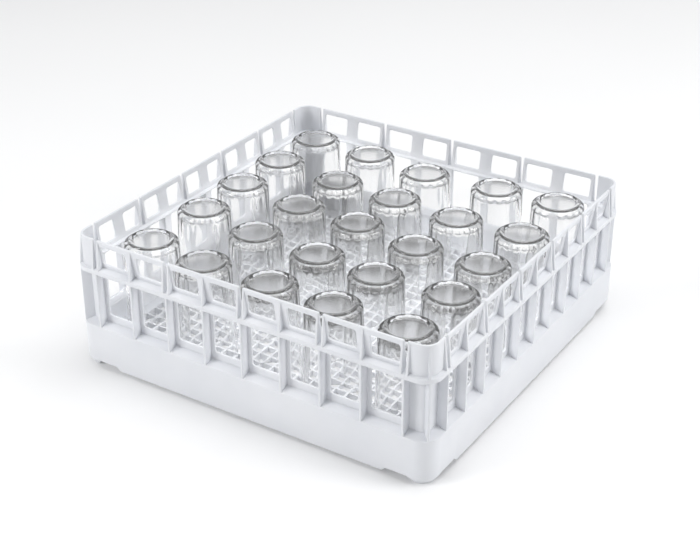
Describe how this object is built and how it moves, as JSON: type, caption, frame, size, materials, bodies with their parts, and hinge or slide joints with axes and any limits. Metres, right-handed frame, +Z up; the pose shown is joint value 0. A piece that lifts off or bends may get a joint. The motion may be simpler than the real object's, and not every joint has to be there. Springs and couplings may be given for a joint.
{
  "type": "glasswasher rack loaded with tumblers",
  "caption": "Square plastic glasswasher rack with an open lattice floor, windowed side walls and corner feet, loaded with upturned glass tumblers that lift out.",
  "frame": {"origin": "on the ground under the middle of the square rack", "axes": "+Z up, front wall facing -Y, right wall facing +X"},
  "size_m": [0.403, 0.403, 0.1437],
  "materials": {
    "rack_plastic": "satin moulded polypropylene, pale blue-grey",
    "tumbler_glass": "clear polished soda-lime glass"
  },
  "bodies": {
    "rack": {"floor_grid": "rack_plastic", "skirt_front": "rack_plastic", "skirt_right": "rack_plastic", "skirt_back": "rack_plastic", "skirt_left": "rack_plastic", "sill_front": "rack_plastic", "sill_right": "rack_plastic", "sill_back": "rack_plastic", "sill_left": "rack_plastic", "fins_front": "rack_plastic", "fins_right": "rack_plastic", "fins_back": "rack_plastic", "fins_left": "rack_plastic", "band_front": "rack_plastic", "band_right": "rack_plastic", "band_back": "rack_plastic", "band_left": "rack_plastic", "upper_panels_front": "rack_plastic", "upper_panels_right": "rack_plastic", "upper_panels_back": "rack_plastic", "upper_panels_left": "rack_plastic", "corner_base_front_right": "rack_plastic", "corner_base_back_right": "rack_plastic", "corner_base_back_left": "rack_plastic", "corner_base_front_left": "rack_plastic", "corner_post_front_right": "rack_plastic", "corner_post_back_right": "rack_plastic", "corner_post_back_left": "rack_plastic", "corner_post_front_left": "rack_plastic"},
    "tumbler_1_1": {"tumbler_1_1": "tumbler_glass"},
    "tumbler_1_2": {"tumbler_1_2": "tumbler_glass"},
    "tumbler_1_3": {"tumbler_1_3": "tumbler_glass"},
    "tumbler_1_4": {"tumbler_1_4": "tumbler_glass"},
    "tumbler_1_5": {"tumbler_1_5": "tumbler_glass"},
    "tumbler_2_1": {"tumbler_2_1": "tumbler_glass"},
    "tumbler_2_2": {"tumbler_2_2": "tumbler_glass"},
    "tumbler_2_3": {"tumbler_2_3": "tumbler_glass"},
    "tumbler_2_4": {"tumbler_2_4": "tumbler_glass"},
    "tumbler_2_5": {"tumbler_2_5": "tumbler_glass"},
    "tumbler_3_1": {"tumbler_3_1": "tumbler_glass"},
    "tumbler_3_2": {"tumbler_3_2": "tumbler_glass"},
    "tumbler_3_3": {"tumbler_3_3": "tumbler_glass"},
    "tumbler_3_4": {"tumbler_3_4": "tumbler_glass"},
    "tumbler_3_5": {"tumbler_3_5": "tumbler_glass"},
    "tumbler_4_1": {"tumbler_4_1": "tumbler_glass"},
    "tumbler_4_2": {"tumbler_4_2": "tumbler_glass"},
    "tumbler_4_3": {"tumbler_4_3": "tumbler_glass"},
    "tumbler_4_4": {"tumbler_4_4": "tumbler_glass"},
    "tumbler_4_5": {"tumbler_4_5": "tumbler_glass"},
    "tumbler_5_1": {"tumbler_5_1": "tumbler_glass"},
    "tumbler_5_2": {"tumbler_5_2": "tumbler_glass"},
    "tumbler_5_3": {"tumbler_5_3": "tumbler_glass"},
    "tumbler_5_4": {"tumbler_5_4": "tumbler_glass"},
    "tumbler_5_5": {"tumbler_5_5": "tumbler_glass"}
  },
  "joints": [
    {"name": "lift_1_1", "type": "slide", "parent": "rack", "child": "tumbler_1_1", "axis": [0, 0, 1], "range_m": [0, 0.13]},
    {"name": "lift_1_2", "type": "slide", "parent": "rack", "child": "tumbler_1_2", "axis": [0, 0, 1], "range_m": [0, 0.13]},
    {"name": "lift_1_3", "type": "slide", "parent": "rack", "child": "tumbler_1_3", "axis": [0, 0, 1], "range_m": [0, 0.13]},
    {"name": "lift_1_4", "type": "slide", "parent": "rack", "child": "tumbler_1_4", "axis": [0, 0, 1], "range_m": [0, 0.13]},
    {"name": "lift_1_5", "type": "slide", "parent": "rack", "child": "tumbler_1_5", "axis": [0, 0, 1], "range_m": [0, 0.13]},
    {"name": "lift_2_1", "type": "slide", "parent": "rack", "child": "tumbler_2_1", "axis": [0, 0, 1], "range_m": [0, 0.13]},
    {"name": "lift_2_2", "type": "slide", "parent": "rack", "child": "tumbler_2_2", "axis": [0, 0, 1], "range_m": [0, 0.13]},
    {"name": "lift_2_3", "type": "slide", "parent": "rack", "child": "tumbler_2_3", "axis": [0, 0, 1], "range_m": [0, 0.13]},
    {"name": "lift_2_4", "type": "slide", "parent": "rack", "child": "tumbler_2_4", "axis": [0, 0, 1], "range_m": [0, 0.13]},
    {"name": "lift_2_5", "type": "slide", "parent": "rack", "child": "tumbler_2_5", "axis": [0, 0, 1], "range_m": [0, 0.13]},
    {"name": "lift_3_1", "type": "slide", "parent": "rack", "child": "tumbler_3_1", "axis": [0, 0, 1], "range_m": [0, 0.13]},
    {"name": "lift_3_2", "type": "slide", "parent": "rack", "child": "tumbler_3_2", "axis": [0, 0, 1], "range_m": [0, 0.13]},
    {"name": "lift_3_3", "type": "slide", "parent": "rack", "child": "tumbler_3_3", "axis": [0, 0, 1], "range_m": [0, 0.13]},
    {"name": "lift_3_4", "type": "slide", "parent": "rack", "child": "tumbler_3_4", "axis": [0, 0, 1], "range_m": [0, 0.13]},
    {"name": "lift_3_5", "type": "slide", "parent": "rack", "child": "tumbler_3_5", "axis": [0, 0, 1], "range_m": [0, 0.13]},
    {"name": "lift_4_1", "type": "slide", "parent": "rack", "child": "tumbler_4_1", "axis": [0, 0, 1], "range_m": [0, 0.13]},
    {"name": "lift_4_2", "type": "slide", "parent": "rack", "child": "tumbler_4_2", "axis": [0, 0, 1], "range_m": [0, 0.13]},
    {"name": "lift_4_3", "type": "slide", "parent": "rack", "child": "tumbler_4_3", "axis": [0, 0, 1], "range_m": [0, 0.13]},
    {"name": "lift_4_4", "type": "slide", "parent": "rack", "child": "tumbler_4_4", "axis": [0, 0, 1], "range_m": [0, 0.13]},
    {"name": "lift_4_5", "type": "slide", "parent": "rack", "child": "tumbler_4_5", "axis": [0, 0, 1], "range_m": [0, 0.13]},
    {"name": "lift_5_1", "type": "slide", "parent": "rack", "child": "tumbler_5_1", "axis": [0, 0, 1], "range_m": [0, 0.13]},
    {"name": "lift_5_2", "type": "slide", "parent": "rack", "child": "tumbler_5_2", "axis": [0, 0, 1], "range_m": [0, 0.13]},
    {"name": "lift_5_3", "type": "slide", "parent": "rack", "child": "tumbler_5_3", "axis": [0, 0, 1], "range_m": [0, 0.13]},
    {"name": "lift_5_4", "type": "slide", "parent": "rack", "child": "tumbler_5_4", "axis": [0, 0, 1], "range_m": [0, 0.13]},
    {"name": "lift_5_5", "type": "slide", "parent": "rack", "child": "tumbler_5_5", "axis": [0, 0, 1], "range_m": [0, 0.13]}
  ]
}
